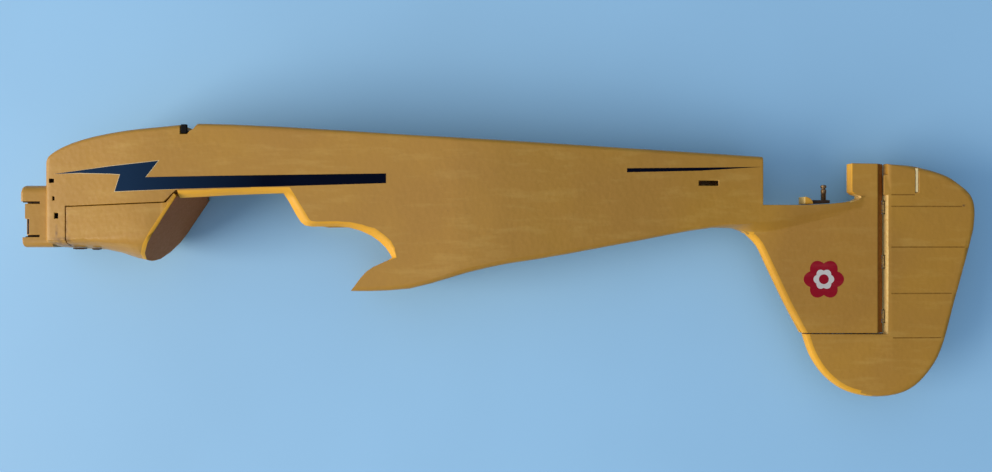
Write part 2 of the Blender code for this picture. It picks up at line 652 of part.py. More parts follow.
def pivot(name, place, datum, parts):
    """An empty on a joint's axis."""
    empty = bpy.data.objects.new(name, None)
    parts.objects.link(empty)
    empty.parent = datum
    empty.location = (place[0] * MM, place[1] * MM, 0)
    return empty


def hang(obj, empty):
    """Parents a moving piece to its pivot, with its own origin there too."""
    obj.data.transform(Matrix.Translation(-empty.location))
    obj.parent = empty


def main():
    for obj in list(bpy.data.objects):
        bpy.data.objects.remove(obj)
    parts = bpy.data.collections.new("model_aeroplane_fuselage")
    tools = bpy.data.collections.new("cutters")
    for collection in (parts, tools):
        bpy.context.scene.collection.children.link(collection)

    both_halves(tools, parts)
    nose_hatch(tools, parts)
    rudder(tools, parts)
    for number, y in enumerate(HINGE_HEIGHTS, 1):
        hinge_pair(number, y, tools, parts)
    firewall(tools, parts)
    hatch_former(tools, parts)
    servo_tray(tools, parts)
    pushrod_tube(1, "pushrod_tube_starboard", SLOT_STARBOARD, parts)
    pushrod_tube(-1, "pushrod_tube_port", SLOT_PORT, parts)
    gear_block(tools, parts)
    tail_fittings(tools, parts)
    hatch_grips(parts)
    tiller_sleeve(parts)

    pieces = list(parts.objects)
    datum = bpy.data.objects.new("datum", None)
    parts.objects.link(datum)
    datum.location = (-sum(BOX_LENGTH) / 2 * MM, -sum(BOX_DEPTH) / 2 * MM, HALF_WIDTH * MM)
    rudder_pivot = pivot("rudder_pivot", (HINGE_X, 0), datum, parts)
    hatch_pivot = pivot("hatch_pivot", HATCH_PIVOT, datum, parts)
    for obj in pieces:
        finish(obj)
        if obj.name in ON_RUDDER:
            hang(obj, rudder_pivot)
        elif obj.name in ON_HATCH:
            hang(obj, hatch_pivot)
        else:
            obj.parent = datum
    tools.hide_render = True


main()
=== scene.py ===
"""Looks for the bare foam fuselage of a high-wing model aeroplane, lying on its port side.

Places are given as on the drawing of the model, in millimetres: x runs aft from the nose, y runs from the
datum line towards the belly, and z runs to starboard from the centre plane. place() turns them into metres.
"""

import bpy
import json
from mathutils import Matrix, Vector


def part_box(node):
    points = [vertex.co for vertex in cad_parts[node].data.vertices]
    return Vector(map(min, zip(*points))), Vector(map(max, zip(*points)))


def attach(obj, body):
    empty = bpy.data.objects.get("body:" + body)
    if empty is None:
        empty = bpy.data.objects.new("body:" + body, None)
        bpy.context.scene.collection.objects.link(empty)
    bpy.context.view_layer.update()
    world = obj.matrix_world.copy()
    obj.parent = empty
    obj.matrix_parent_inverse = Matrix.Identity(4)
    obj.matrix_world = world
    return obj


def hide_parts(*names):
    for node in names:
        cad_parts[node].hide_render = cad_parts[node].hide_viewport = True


bl_info = {
    "name": "Model aeroplane fuselage",
    "version": (1, 0, 0),
    "blender": (4, 5, 0),
    "location": "View3D > Sidebar > Fuselage",
    "description": "Dresses the bare fuselage, hatch, fin and rudder of a foam model aeroplane",
    "category": "Object",
}

import json
import math

import bmesh
import bpy
from bpy.props import FloatProperty, FloatVectorProperty, IntProperty, PointerProperty
from mathutils import Matrix, Vector
from mathutils.bvhtree import BVHTree

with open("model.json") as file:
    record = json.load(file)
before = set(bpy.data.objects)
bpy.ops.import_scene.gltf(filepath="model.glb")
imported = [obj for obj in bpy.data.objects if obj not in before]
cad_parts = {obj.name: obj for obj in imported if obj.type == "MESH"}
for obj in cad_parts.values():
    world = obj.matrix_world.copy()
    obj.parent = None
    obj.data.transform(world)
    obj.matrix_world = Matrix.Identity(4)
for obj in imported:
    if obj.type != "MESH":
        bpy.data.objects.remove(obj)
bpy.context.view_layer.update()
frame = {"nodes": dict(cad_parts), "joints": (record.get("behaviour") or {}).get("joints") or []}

MM = 0.001

# The rudder's hinge line ties the drawing to the frame
HINGE_LINE = 588.8
HINGE = Vector(next(j for j in frame["joints"] if j["name"] == "rudder_hinge")["pos_m"])
DRAWN_ORIGIN = HINGE - Vector((HINGE_LINE * MM, 0, 0))
# Where the camera stands along x
VIEW_CENTRE = 318.06

# The raked rear face of the hatch: the way it faces, and the foot of its slope
SCREEN_RAKE = Vector((0.834, -0.552, 0.0))
SCREEN_FOOT = (106.9, 26.1, 0.0)

# The navy flash on each side, and where its pale edge ends
FLASH = ((22.7, 41.3), (61.9, 46.2), (95.1, 49.7), (86.5, 38.9), (135.9, 39.8), (245.4, 41.3), (245.4, 34.9),
         (168.9, 32.6), (136, 31.8), (108.5, 31.1), (65.5, 29.5), (69.2, 40.8), (61.9, 41.3), (40.4, 41.9))
PALE_EDGE_END = 110
# From here aft the flash runs along the cabin sill, and the lower port sill pushes its edge down
SILL_START = 100
PORT_SILL = 31.2
SILL_MARGIN = 0.5
# The thin stripe that tapers towards the tail
TAIL_STRIPE = ((406.4, 45.7), (457, 46.6), (500.7, 47.5), (457, 44.5), (406.4, 43.0))
# Where the sides bend, so that a film has to bend with them
SIDE_STATIONS = (23.4, 28, 35, 43, 51, 62, 73, 79, 86, 96, 108, 121.5, 143, 175, 208, 222, 234, 417, 434, 450,
                 468, 478, 484, 490, 497)
# Lines moulded in the rudder, each as its height and its first and last x
RIBS = ((28.7, 592.4, 609.0), (20.6, 592.4, 643.0), (-7.7, 592.4, 645.0), (-39.9, 592.4, 635.6),
        (-70.7, 593.6, 628.0))
# How far behind its front end a line is at full depth, how far before its rear end, and how near to
# an end nothing is pressed in
RIB_RUN_IN, RIB_RUN_OUT, RIB_END = 1.2, 3.0, 0.3

# Slots and pockets whose walls take a painted shade, each as its lowest and highest corner, on both sides
SHADED_POCKETS = (((-7, 21.7, 22), (11.7, 23.2, 40)), ((-7, -0.8, 22), (11.7, 0.7, 40)),
         ((-9, 0.3, 23.5), (4.6, 11.5, 40)), ((23.4, 11.7, 10), (26.0, 15.4, 40)),
         ((19.6, 35.6, 25), (23.2, 38.2, 40)), ((22.1, 23.8, 26), (23.4, 26.4, 40)))
# The floors of the slots lie nearer to the centre plane than this
POCKET_Z = 26
# The pushrod slots, whose walls take the same painted shade
PUSHROD_SLOTS = (((456.4, 34.4, 5), (470.2, 37.8, 40)), ((436.4, 34.9, 5), (450.2, 38.3, 40)))

# Areas of the foam with a finish of their own, each as its lowest and its highest x and y. Most take a
# painted highlight, the faces behind the stern post a painted shade, and the rudder's front is also bare foam
CABIN_RIM = ((106, -17), (252.5, 33.5))
FIN_EDGE = ((486, -68), (536, 3))
POST_FRONT = ((562, 26.5), (567, 60))
POST_HOOK = ((563, 23), (572, 29.3))
POST_REAR = ((582, -80), (589, 60))
HORN_EDGE = ((500, -120), (590, -68))
RUDDER_FRONT = ((586, -67), (591.2, 28.5))
RUDDER_CORE = ((586, -67), (592.2, 60))
# A face is a wall where its normal has less than this along z
WALL = 0.9
# A face is part of the flat of a side where its normal has more than this along z
FLAT_OF_SIDE = 0.98
# How much of its normal a face has towards the nose where it looks forward, on the fin and the lug, on the
# rudder's horn, and on the rudder's front
FORWARD, HORN_FORWARD, FRONT_FORWARD = 0.12, 0.08, 0.6
# How much of its normal a face in the stern post's area has towards the tail where it looks aft
AFT = 0.5
# The cabin rim lies further out than this, and its faces look outwards by more than the tilt
RIM_INNER, RIM_TILT = 30.4, 0.1
# The rudder's core lies nearer to the centre plane than this
CORE_HALF_WIDTH = 1.4
LUG_FRONT = 527

# Stains, each as its centre's x and y, its half width and half height, and its strength
STAINS = ((29, -4.5, 8, 4.5, 0.75), (25, 3.5, 1.2, 4.0, 0.7), (31.5, 8, 1.3, 14, 0.5),
          (102, 26, 3.5, 3.5, 0.35), (644.5, 21.3, 1.6, 0.9, 0.9))
# The painted shade on the fin and the painted sheen on the flash near the nose, with their half sizes in
# metres
FIN_SHADE_AT, FIN_SHADE_REACH = (552, -16), (0.046, 0.058, 1.0)
SHEEN_AT, SHEEN_REACH = (50, 42), (0.115, 1.0, 1.0)

# Shades that the paint and the film take in patches, and the colours of the painted shade on the fin
# and the painted sheen on the flash
STREAK = (0.80, 0.50, 0.13, 1)
SPECK = (0.30, 0.15, 0.03, 1)
FIN_SHADE = (0.34, 0.150, 0.020, 1)
NAVY_SCUFF = (0.002, 0.006, 0.022, 1)
NAVY_SHEEN = (0.009, 0.028, 0.068, 1)
# The darker layers of the plywood, and the thickness of one layer in metres
PLY_LAYER = (0.20, 0.10, 0.045, 1)
PLY_THICKNESS = 0.0006

# Gaps between a film and the surface below it, in metres
BACKING_LIFT = 0.00001
TAIL_STRIPE_LIFT = 0.00003
FILM_LIFT = 0.00004
TOP_FILM_LIFT = 0.00007

# The rosette on the fin, and its rings: each one's name, finish, radius, depth of wave and gap
ROSETTE_AT = (545.5, -30.0)
ROSETTE_RINGS = (("red", "red_film", 14.0, 0.22, BACKING_LIFT), ("white", "white_film", 7.2, 0.18, FILM_LIFT),
                 ("heart", "red_film", 3.4, 0.0, TOP_FILM_LIFT))
STEPS_PER_PETAL = 10

# How far the edges of the small pieces are eased, in metres
BLOCK_EASE = 0.0004
FITTING_EASE = 0.0003
FINE_EASE = 0.0002
# An edge is eased only where the edges beside it are longer than this many times the rounding
EASE_ROOM = 2.2
# Distances in metres: points closer than WELD are one, a point nearer to a plane than TOUCH lies on it, and
# faces narrower than SLIVER are merged away
WELD = 0.000004
TOUCH = 0.00001
SLIVER = 0.00003
# Faces that bend less than this are one flat face
FLAT_ANGLE = math.radians(0.4)
# A corner of an outline moves out by no more than this many times the growth
CORNER_LIMIT = 3.0
# The surface under a film is looked for from here, in metres from the centre plane
CLEAR_OF_SIDES = 0.1

# The finger grips
GRIP_RIDGES = 4
GRIP_GROOVE = 0.0004
GRIP_EASE = 0.0003
# The chamfer round the hatch's rear face: the share of its width that it slopes in by, and how far above
# the foot of the face it stops, in metres
RIM_SLOPE = 0.45
RIM_STOP = 0.0002
# A face whose normal agrees with the rake by more than this is part of the raked face
ON_RAKE = 0.97

# The tail stud in millimetres: how much narrower than its collar each stretch is, and its thread
STUD_SHANK, STUD_ROOT, STUD_WAIST, STUD_BEVEL = 0.1, 0.42, 0.75, 0.5
THREAD_START, THREAD_PITCH, THREAD_TURNS = 0.7, 0.7, 8

# The lights, and the side that the room is brighter on
WINDOW_AT, WINDOW_SIZE, WINDOW_COLOUR = (-3.3, -0.85, 1.7), 2.2, (1.0, 0.91, 0.78)
CEILING_AT, CEILING_SIZE, CEILING_COLOUR = (0.0, 0.0, 1.3), 0.9, (0.90, 0.95, 1.0)
LIGHTS_AIM = (0, 0, 0.03)
BRIGHT_SIDE = (-0.75, -0.10, 0.65)
ROOM_DIM, ROOM_BRIGHT = (0.28, 0.38, 0.52, 1), (0.66, 0.84, 1.0, 1)
# The floor lies a hair below the part that rests on it
FLOOR_DROP = 0.00025
FLOOR_REACH = 4.0


class AirframeFinish(bpy.types.PropertyGroup):
    """Colours of the fuselage."""
    foam: FloatVectorProperty(name="Foam", description="Yellow paint on the foam", subtype="COLOR", size=4,
                              default=(0.52, 0.247, 0.024, 1), min=0, max=1)
    # Painted highlight: the colour of the faces that turn to the window light
    foam_highlight: FloatVectorProperty(name="Bright foam", description="Thick paint on the rounded edges",
                                     subtype="COLOR", size=4, default=(0.84, 0.395, 0.032, 1), min=0, max=1)
    foam_worn: FloatVectorProperty(name="Worn foam", description="Paint where it has faded", subtype="COLOR",
                                   size=4, default=(0.48, 0.225, 0.028, 1), min=0, max=1)
    stain: FloatVectorProperty(name="Stain", description="Brown exhaust and glue stain at the nose",
                               subtype="COLOR", size=4, default=(0.14, 0.060, 0.020, 1), min=0, max=1)
    navy: FloatVectorProperty(name="Navy film", description="Film of the flash and stripes", subtype="COLOR",
                              size=4, default=(0.0008, 0.002, 0.010, 1), min=0, max=1)
    pale_edge: FloatVectorProperty(name="Pale edge", description="Backing that shows round the film",
                                   subtype="COLOR", size=4, default=(0.80, 0.62, 0.36, 1), min=0, max=1)
    red: FloatVectorProperty(name="Red film", description="Petals of the rosette on the fin", subtype="COLOR",
                             size=4, default=(0.30, 0.008, 0.02, 1), min=0, max=1)


class AirframeDetail(bpy.types.PropertyGroup):
    """Sizes of the fine detail."""
    ease: FloatProperty(name="Eased edge", description="Rounding of the moulded edges", subtype="DISTANCE",
                        default=0.0005, min=0, soft_max=0.002)
    film: FloatProperty(name="Film thickness", description="Thickness of the decal film", subtype="DISTANCE",
                        default=0.00007, min=0.00002, soft_max=0.0005)
    edge_width: FloatProperty(name="Pale edge width", description="Width of the pale edge round the flash",
                              subtype="DISTANCE", default=0.0003, min=0, soft_max=0.002)
    rib_width: FloatProperty(name="Rib line width", description="Width of the moulded lines on the rudder",
                             subtype="DISTANCE", default=0.0009, min=0.0002, soft_max=0.004)
    rib_depth: FloatProperty(name="Rib line depth", description="Depth of the moulded lines on the rudder",
                             subtype="DISTANCE", default=0.0004, min=0, soft_max=0.001)
    bead: FloatProperty(name="Bead size", description="Size of the foam's beads", subtype="DISTANCE",
                        default=0.0032, min=0.001, soft_max=0.01)
    screen_rim: FloatProperty(name="Screen rim", description="Chamfer round the raked rear face of the hatch",
                              subtype="DISTANCE", default=0.0022, min=0.0002, soft_max=0.004)
    petals: IntProperty(name="Petals", description="Number of petals on the rosette", default=6, min=3,
                        max=16)


class AirframeStage(bpy.types.PropertyGroup):
    """The camera, the floor and the lights."""
    lens: FloatProperty(name="Lens", description="Focal length in millimetres", default=33.42, min=10,
                        max=200)
    height: FloatProperty(name="Camera height", description="Height of the camera above the floor",
                          subtype="DISTANCE", default=0.680, min=0.3, soft_max=3)
    floor: FloatVectorProperty(name="Floor", description="Colour of the floor", subtype="COLOR", size=4,
                               default=(0.375, 0.655, 0.95, 1), min=0, max=1)
    key: FloatProperty(name="Window light", description="Power of the window light in watts",
                       default=126.0, min=0)
    fill: FloatProperty(name="Fill light", description="Power of the ceiling light in watts",
                        default=1.2, min=0)
    sky: FloatProperty(name="Room light", description="Strength of the light from all round",
                       default=0.53, min=0)


def finish_settings():
    return bpy.context.scene.airframe_finish


def detail_settings():
    return bpy.context.scene.airframe_detail


def place(x, y, z=0.0):
    """A point of the drawing, in metres in the frame of the model."""
    return DRAWN_ORIGIN + Vector((x, y, z)) * MM


# Materials


def new_material(name):
    """A material, its node tree and its shader."""
    made = bpy.data.materials.new(name)
    made.use_nodes = True
    tree = made.node_tree
    return made, tree, tree.nodes["Principled BSDF"]


def add_node(tree, kind, **values):
    """A shader node, with its properties and input defaults set by name."""
    node = tree.nodes.new(kind)
    for key, value in values.items():
        if key in node.inputs:
            node.inputs[key].default_value = value
        else:
            setattr(node, key, value)
    return node


def object_place(tree):
    """The place of a point on the piece itself, which moves and turns with it."""
    return add_node(tree, "ShaderNodeTexCoord").outputs["Object"]


def noise(tree, vector, scale, detail=3.0, roughness=0.5):
    """Soft noise, whose scale is in waves for each metre."""
    node = add_node(tree, "ShaderNodeTexNoise", Scale=scale, Detail=detail, Roughness=roughness)
    tree.links.new(vector, node.inputs["Vector"])
    return node.outputs["Fac"]


def stretched(tree, vector, scale, centre=(0, 0, 0)):
    """The vector seen from a centre and stretched along each axis."""
    shift = [-c * s for c, s in zip(centre, scale)]
    node = add_node(tree, "ShaderNodeMapping", Scale=scale, Location=shift)
    tree.links.new(vector, node.inputs["Vector"])
    return node.outputs["Vector"]


def ramp(tree, value, *stops):
    """A colour that follows a value, from stops of a position and a colour."""
    node = add_node(tree, "ShaderNodeValToRGB")
    elements = node.color_ramp.elements
    while len(elements) < len(stops):
        elements.new(0.5)
    for element, (position, colour) in zip(elements, stops):
        element.position = position
        element.color = colour
    tree.links.new(value, node.inputs["Fac"])
    return node.outputs["Color"]


def connect(tree, socket, value):
    """Gives a socket its value, which is another socket or a fixed value."""
    if isinstance(value, bpy.types.NodeSocket):
        tree.links.new(value, socket)
    else:
        socket.default_value = value


def mixed(tree, share, first, second):
    """A mix of two colours. The node's colour sockets come after its number and vector ones."""
    node = add_node(tree, "ShaderNodeMix", data_type="RGBA")
    connect(tree, node.inputs["Factor"], share)
    connect(tree, node.inputs[6], first)
    connect(tree, node.inputs[7], second)
    return node.outputs[2]


def ranged(tree, value, low, high, to_low=0.0, to_high=1.0):
    """A value, with one range mapped to another and kept within it."""
    node = add_node(tree, "ShaderNodeMapRange")
    for key, number in (("From Min", low), ("From Max", high), ("To Min", to_low), ("To Max", to_high)):
        node.inputs[key].default_value = number
    tree.links.new(value, node.inputs["Value"])
    return node.outputs["Result"]


def calculated(tree, operation, first, second):
    """A value worked out from two others, each a socket or a fixed value."""
    node = add_node(tree, "ShaderNodeMath", operation=operation)
    connect(tree, node.inputs[0], first)
    connect(tree, node.inputs[1], second)
    return node.outputs["Value"]


def bump(tree, height, distance, strength=1.0, under=None):
    """A normal that is raised by up to a distance in metres, on top of the one under it."""
    node = add_node(tree, "ShaderNodeBump", Strength=strength, Distance=distance)
    tree.links.new(height, node.inputs["Height"])
    if under is not None:
        tree.links.new(under, node.inputs["Normal"])
    return node.outputs["Normal"]


def distance_from(tree, vector, centre, radii):
    """How far a point lies from a centre, in radii along each axis."""
    node = add_node(tree, "ShaderNodeVectorMath", operation="LENGTH")
    tree.links.new(stretched(tree, vector, [1 / r for r in radii], centre), node.inputs[0])
    return node.outputs["Value"]


def beads(tree, vector):
    """How far a point of the surface lies from the middle of its foam bead."""
    node = add_node(tree, "ShaderNodeTexVoronoi", feature="SMOOTH_F1", Scale=1 / detail_settings().bead,
                    Smoothness=0.35)
    tree.links.new(vector, node.inputs["Vector"])
    return node.outputs["Distance"]


def painted_foam(name, fresh, worn, sheen):
    """Satin paint over bead foam, faded in clouds, with streaks, specks, stains and a painted shade on the
    fin.
    """
    made, tree, shader = new_material(name)
    shader.inputs["Specular IOR Level"].default_value = sheen
    at = object_place(tree)
    clouds = noise(tree, at, scale=14, detail=5, roughness=0.55)
    colour = mixed(tree, ranged(tree, clouds, 0.35, 0.65), worn, fresh)
    streaks = noise(tree, stretched(tree, at, (30, 160, 160)), scale=1, detail=4, roughness=0.6)
    colour = mixed(tree, ranged(tree, streaks, 0.52, 0.78, 0, 0.22), colour, STREAK)
    specks = noise(tree, at, scale=620, detail=2)
    colour = mixed(tree, ranged(tree, specks, 0.66, 0.80, 0, 0.30), colour, SPECK)
    blotches = noise(tree, at, scale=330, detail=4, roughness=0.6)
    for x, y, half_width, half_height, strength in STAINS:
        reach = distance_from(tree, at, place(x, y), (half_width * MM, half_height * MM, 1.0))
        near, patchy = ranged(tree, reach, 1.25, 0.45), ranged(tree, blotches, 0.38, 0.60)
        share = calculated(tree, "MULTIPLY", calculated(tree, "MULTIPLY", near, patchy), strength)
        colour = mixed(tree, share, colour, finish_settings().stain)
    # Painted shade that darkens the fin in a soft patch
    reach = distance_from(tree, at, place(*FIN_SHADE_AT), FIN_SHADE_REACH)
    colour = mixed(tree, ranged(tree, reach, 1.15, 0.75, 0, 0.45), colour, FIN_SHADE)
    tree.links.new(colour, shader.inputs["Base Color"])
    tree.links.new(ranged(tree, clouds, 0.3, 0.7, 0.50, 0.38), shader.inputs["Roughness"])
    dimples = bump(tree, beads(tree, at), distance=0.00022, strength=0.35)
    grain = noise(tree, at, scale=1500, detail=2, roughness=0.6)
    skin = bump(tree, grain, distance=0.00006, strength=0.4, under=dimples)
    waves = bump(tree, noise(tree, at, scale=45), distance=0.0012, strength=0.30, under=skin)
    tree.links.new(waves, shader.inputs["Normal"])
    return made


def patched_matt_foam(name, colour, patches):
    """Matt foam in one colour with random patches of another. Its colours carry painted shade in slots,
    pockets, grooves and behind the stern post, painted highlights on lit faces, bare foam on the rudder's
    front, and the raked face's brown.
    """
    made, tree, shader = new_material(name)
    at = object_place(tree)
    # The patches are random; where the colours are painted shade or highlight they are not wear
    worn = noise(tree, at, scale=420, detail=4, roughness=0.6)
    tree.links.new(mixed(tree, ranged(tree, worn, 0.40, 0.70), colour, patches), shader.inputs["Base Color"])
    tree.links.new(ranged(tree, worn, 0.3, 0.7, 0.85, 0.65), shader.inputs["Roughness"])
    tree.links.new(bump(tree, worn, distance=0.0002, strength=0.4), shader.inputs["Normal"])
    shader.inputs["Specular IOR Level"].default_value = 0.2
    return made


def decal_film(name, colour, mottle, roughness, faded=None):
    """Film with faint scuffs, pressed onto the beads of the foam, and perhaps with a painted sheen in one
    place.
    """
    made, tree, shader = new_material(name)
    shader.inputs["Specular IOR Level"].default_value = 0.03
    at = object_place(tree)
    scuffs = noise(tree, stretched(tree, at, (40, 220, 220)), scale=1, detail=6, roughness=0.7)
    shade = mixed(tree, ranged(tree, scuffs, 0.50, 0.85, 0, 0.5), colour, mottle)
    # Painted sheen: the flash is made lighter and bluer near the nose
    if faded is not None:
        reach = distance_from(tree, at, place(*SHEEN_AT), SHEEN_REACH)
        shade = mixed(tree, ranged(tree, reach, 1.0, 0.2), shade, faded)
    tree.links.new(shade, shader.inputs["Base Color"])
    tree.links.new(ranged(tree, scuffs, 0.3, 0.7, roughness, roughness + 0.18), shader.inputs["Roughness"])
    tree.links.new(bump(tree, beads(tree, at), distance=0.00015, strength=0.3), shader.inputs["Normal"])
    return made


def moulded_plastic(name, colour, pale, roughness, gloss):
    """Plastic with a fine spark-eroded grain and dusty patches."""
    made, tree, shader = new_material(name)
    shader.inputs["Specular IOR Level"].default_value = gloss
    at = object_place(tree)
    dust = noise(tree, at, scale=190, detail=4, roughness=0.6)
    dusty = mixed(tree, ranged(tree, dust, 0.45, 0.75, 0, 0.6), colour, pale)
    tree.links.new(dusty, shader.inputs["Base Color"])
    matt = ranged(tree, dust, 0.3, 0.7, roughness - 0.08, roughness + 0.12)
    tree.links.new(matt, shader.inputs["Roughness"])
    grain = noise(tree, at, scale=2600, detail=2)
    tree.links.new(bump(tree, grain, distance=0.00004, strength=0.5), shader.inputs["Normal"])
    return made


def plywood(name, grain_stretch, layer_axis):
    """Light plywood with grain, and with darker layers across its thickness, along axis 0 (X) or 1 (Y)."""
    made, tree, shader = new_material(name)
    at = object_place(tree)
    grain = noise(tree, stretched(tree, at, grain_stretch), scale=1, detail=6, roughness=0.65)
    face = ramp(tree, grain, (0.30, (0.30, 0.17, 0.075, 1)), (0.52, (0.50, 0.32, 0.16, 1)),
                (0.72, (0.60, 0.41, 0.23, 1)))
    split = add_node(tree, "ShaderNodeSeparateXYZ")
    tree.links.new(at, split.inputs[0])
    layers = calculated(tree, "PINGPONG", split.outputs[layer_axis], PLY_THICKNESS)
    colour = mixed(tree, ranged(tree, layers, 0.0002, 0.0003, 0.45, 0.0), face, PLY_LAYER)
    tree.links.new(colour, shader.inputs["Base Color"])
    tree.links.new(ranged(tree, grain, 0.3, 0.7, 0.78, 0.60), shader.inputs["Roughness"])
    tree.links.new(bump(tree, grain, distance=0.00012, strength=0.5), shader.inputs["Normal"])
    return made


def tarnished_steel(name):
    """Steel with a brown tarnish in small patches."""
    made, tree, shader = new_material(name)
    tarnish = noise(tree, object_place(tree), scale=900, detail=5, roughness=0.6)
    colour = ramp(tree, tarnish, (0.35, (0.10, 0.055, 0.024, 1)), (0.55, (0.26, 0.15, 0.07, 1)),
                  (0.75, (0.42, 0.29, 0.16, 1)))
    tree.links.new(colour, shader.inputs["Base Color"])
    shader.inputs["Metallic"].default_value = 0.85
    tree.links.new(ranged(tree, tarnish, 0.3, 0.7, 0.55, 0.30), shader.inputs["Roughness"])
    tree.links.new(bump(tree, tarnish, distance=0.00003, strength=0.4), shader.inputs["Normal"])
    return made


def material(name):
    """The named finish, made when it is first asked for."""
    found = bpy.data.materials.get(name)
    if found:
        return found
    finish = finish_settings()
    recipes = {
        "painted_foam": (painted_foam, finish.foam, finish.foam_worn, 0.5),
        # Painted highlight for the faces turned to the light
        "highlight_foam": (painted_foam, finish.foam_highlight, finish.foam_highlight, 0.2),
        "navy_film": (decal_film, finish.navy, NAVY_SCUFF, 0.42, NAVY_SHEEN),
        "pale_film": (decal_film, finish.pale_edge, (0.62, 0.44, 0.20, 1), 0.45),
        "red_film": (decal_film, finish.red, (0.42, 0.05, 0.06, 1), 0.34),
        "white_film": (decal_film, (0.62, 0.58, 0.55, 1), (0.40, 0.34, 0.32, 1), 0.36),
        "grained_black": (moulded_plastic, (0.004, 0.003, 0.003, 1), (0.016, 0.011, 0.009, 1), 0.6, 0.12),
        "grained_brown": (moulded_plastic, (0.045, 0.018, 0.008, 1), (0.11, 0.06, 0.03, 1), 0.5, 0.25),
        "cream_nylon": (moulded_plastic, (0.94, 0.72, 0.38, 1), (0.76, 0.54, 0.25, 1), 0.42, 0.25),
        "tan_nylon": (moulded_plastic, (0.50, 0.31, 0.11, 1), (0.32, 0.19, 0.07, 1), 0.5, 0.25),
        "tray_plywood": (plywood, (40, 900, 900), 1),
        "former_plywood": (plywood, (900, 900, 40), 0),
        "dull_steel": (tarnished_steel,),
        # Painted shade in the slots and pockets
        "pocket_shade_foam": (patched_matt_foam, (0.020, 0.010, 0.005, 1), (0.10, 0.045, 0.015, 1)),
        # Painted shade for the faces behind the stern post
        "shaded_foam": (patched_matt_foam, (0.27, 0.085, 0.009, 1), (0.35, 0.12, 0.014, 1)),
        # Browner, redder foam for the hatch's raked rear face
        "rake_brown_foam": (patched_matt_foam, (0.50, 0.160, 0.047, 1), (0.56, 0.19, 0.055, 1)),
        # Painted shade in the rudder's grooves
        "groove_shade_foam": (patched_matt_foam, (0.26, 0.120, 0.018, 1), (0.36, 0.17, 0.022, 1)),
        # Paler painted highlight; on the rudder's front it is also bare, unpainted foam
        "highlight_pale_foam": (patched_matt_foam, (0.80, 0.54, 0.20, 1), (0.70, 0.42, 0.12, 1)),
    }
    make, *values = recipes[name]
    return make(name, *values)


# Shapes


def merged_node(node):
    """A bmesh of a solid of the frame, with its loose triangles joined and its flat faces whole."""
    bm = bmesh.new()
    bm.from_mesh(frame["nodes"][node].data)
    bmesh.ops.remove_doubles(bm, verts=bm.verts, dist=WELD)
    bmesh.ops.dissolve_limit(bm, angle_limit=FLAT_ANGLE, verts=bm.verts, edges=bm.edges)
    return bm


def ease_edges(bm, radius, min_angle=38):
    """Rounds the sharp outer edges, where the faces beside them leave room for it."""
    edges = []
    for edge in bm.edges:
        between_faces = len(edge.link_faces) == 2 and edge.is_convex
        if not between_faces or edge.calc_face_angle() < math.radians(min_angle):
            continue
        beside = [other for vert in edge.verts for other in vert.link_edges if other is not edge]
        if min(other.calc_length() for other in beside) > radius * EASE_ROOM:
            edges.append(edge)
    bmesh.ops.bevel(bm, geom=edges, offset=radius, segments=2, profile=0.5, material=-1, affect="EDGES")


def grooves(bm, lines, half_width, depth):
    """Presses narrow V grooves across x at the given heights into both sides of a blade."""
    for y, first, last in lines:
        middle = place(0, y)
        for offset in (-half_width, 0, half_width):
            bmesh.ops.bisect_plane(bm, geom=[*bm.verts, *bm.edges, *bm.faces],
                                   plane_co=middle + Vector((0, offset, 0)), plane_no=(0, 1, 0))
        for x in (first, first + RIB_RUN_IN, last - RIB_RUN_OUT, last):
            near = [f for f in bm.faces if abs(f.calc_center_median().y - middle.y) < half_width * 1.5]
            geom = list({e for f in near for e in f.edges} | {v for f in near for v in f.verts} | set(near))
            bmesh.ops.bisect_plane(bm, geom=geom, plane_co=place(x, 0), plane_no=(1, 0, 0))
    for y, first, last in lines:
        low, high = place(first + RIB_END, 0).x, place(last - RIB_END, 0).x
        for vert in bm.verts:
            if abs(vert.co.y - place(0, y).y) < TOUCH and low < vert.co.x < high:
                vert.co.z += -depth if vert.co.z > HINGE.z else depth


def finish_mesh(bm, name, body, finish, smooth_angle=34):
    """Turns a bmesh into a shaded piece that rides on a body."""
    bmesh.ops.dissolve_degenerate(bm, dist=SLIVER, edges=bm.edges)
    mesh = bpy.data.meshes.new(name)
    bm.to_mesh(mesh)
    bm.free()
    mesh.materials.append(material(finish))
    mesh.shade_smooth()
    mesh.set_sharp_from_angle(angle=math.radians(smooth_angle))
    obj = bpy.data.objects.new(name, mesh)
    bpy.context.scene.collection.objects.link(obj)
    weighted = obj.modifiers.new("weighted_normals", "WEIGHTED_NORMAL")
    weighted.weight = 100
    weighted.keep_sharp = True
    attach(obj, body)
    return obj


def dress(node, name, body, finish, ease=None):
    """A solid of the frame with its edges eased, in the given finish."""
    bm = merged_node(node)
    ease_edges(bm, detail_settings().ease if ease is None else ease)
    obj = finish_mesh(bm, name, body, finish)
    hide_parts(node)
    return obj


def refinish(obj, finish, chosen):
    """Gives another finish to the faces that are chosen by their centre on the drawing and their normal."""
    obj.data.materials.append(material(finish))
    index = len(obj.data.materials) - 1
    for face in obj.data.polygons:
        if chosen((face.center - DRAWN_ORIGIN) / MM, face.normal):
            face.material_index = index


def inside_any(point, boxes, slack=0.05):
    """Whether a point of the drawing lies in one of the boxes, on either side of the centre plane."""
    spot = (point.x, point.y, abs(point.z))
    return any(all(a - slack <= p <= b + slack for p, a, b in zip(spot, low, high)) for low, high in boxes)


def over(point, area):
    """Whether a point of the drawing lies in an area, seen from the side."""
    (left, low), (right, high) = area
    return left < point.x < right and low < point.y < high


